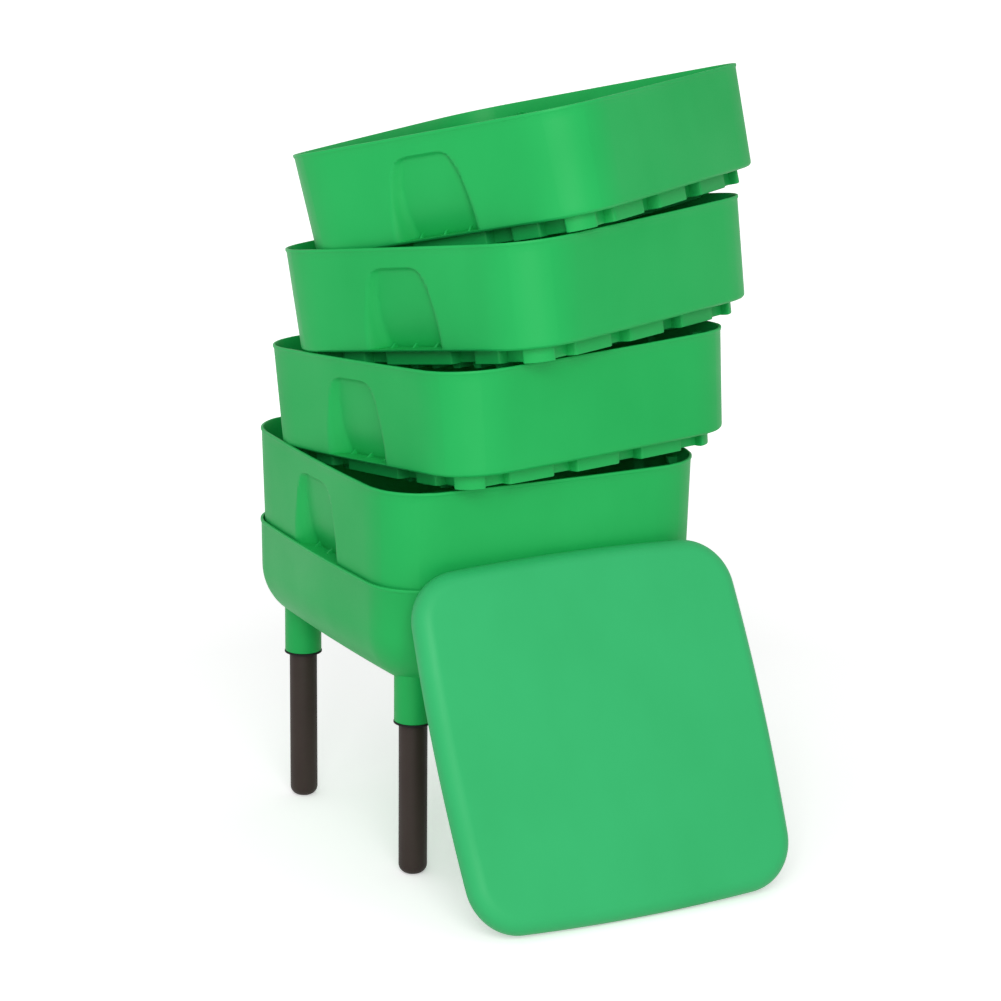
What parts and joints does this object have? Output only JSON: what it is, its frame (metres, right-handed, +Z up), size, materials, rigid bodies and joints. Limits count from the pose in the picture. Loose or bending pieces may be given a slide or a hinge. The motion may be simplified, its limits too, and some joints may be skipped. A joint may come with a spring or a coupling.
{
  "type": "worm composter",
  "caption": "Four-legged stacking worm composter with a collector tub and tap, nested worm trays lifted askew, and a domed square lid leaning against its front.",
  "frame": {"origin": "on the floor under the middle of the whole footprint, lid included", "axes": "+Z up; -Y is the front, where the lid leans and the tap is; the trays' hand recesses face -X and +X when they are nested straight"},
  "size_m": [0.4692, 0.5728, 0.8227],
  "materials": {
    "green_moulding": "satin moulded polypropylene, mid green",
    "leg_brown": "smooth satin rod, very dark brown",
    "black_rubber": "matte black rubber",
    "black_plastic": "satin black moulded plastic"
  },
  "bodies": {
    "collector": {"collector_tub": "green_moulding", "leg_front_left": "leg_brown", "leg_front_right": "leg_brown", "leg_back_left": "leg_brown", "leg_back_right": "leg_brown", "leg_collar_front_left": "black_rubber", "leg_collar_front_right": "black_rubber", "leg_collar_back_left": "black_rubber", "leg_collar_back_right": "black_rubber", "tap_gasket": "black_rubber", "tap_body": "black_plastic", "tap_washer": "black_rubber", "tap_nut": "black_plastic"},
    "spindle": {"tap_lever": "black_plastic", "tap_seal": "black_rubber"},
    "tray_1": {"tray_1": "green_moulding"},
    "tray_2": {"tray_2": "green_moulding"},
    "tray_3": {"tray_3": "green_moulding"},
    "tray_4": {"tray_4": "green_moulding"},
    "lid": {"lid": "green_moulding"}
  },
  "joints": [
    {"name": "tray_1_lift", "type": "slide", "parent": "collector", "child": "tray_1", "axis": [0, 0, 1], "range_m": [0, 0.15]},
    {"name": "tray_2_lift", "type": "slide", "parent": "tray_1", "child": "tray_2", "axis": [0, 0, 1], "range_m": [0, 0.15]},
    {"name": "tray_3_lift", "type": "slide", "parent": "tray_2", "child": "tray_3", "axis": [0, 0, 1], "range_m": [0, 0.15]},
    {"name": "tray_4_lift", "type": "slide", "parent": "tray_3", "child": "tray_4", "axis": [0, 0, 1], "range_m": [0, 0.15]},
    {"name": "lid_removal", "type": "slide", "parent": "collector", "child": "lid", "axis": [0, -1, 0], "range_m": [0, 0.3]},
    {"name": "tap_turn", "type": "hinge", "parent": "collector", "child": "spindle", "pos_m": [-0.038, -0.1234, 0.233], "axis": [0, 0, 1], "range_deg": [0, 90]}
  ]
}
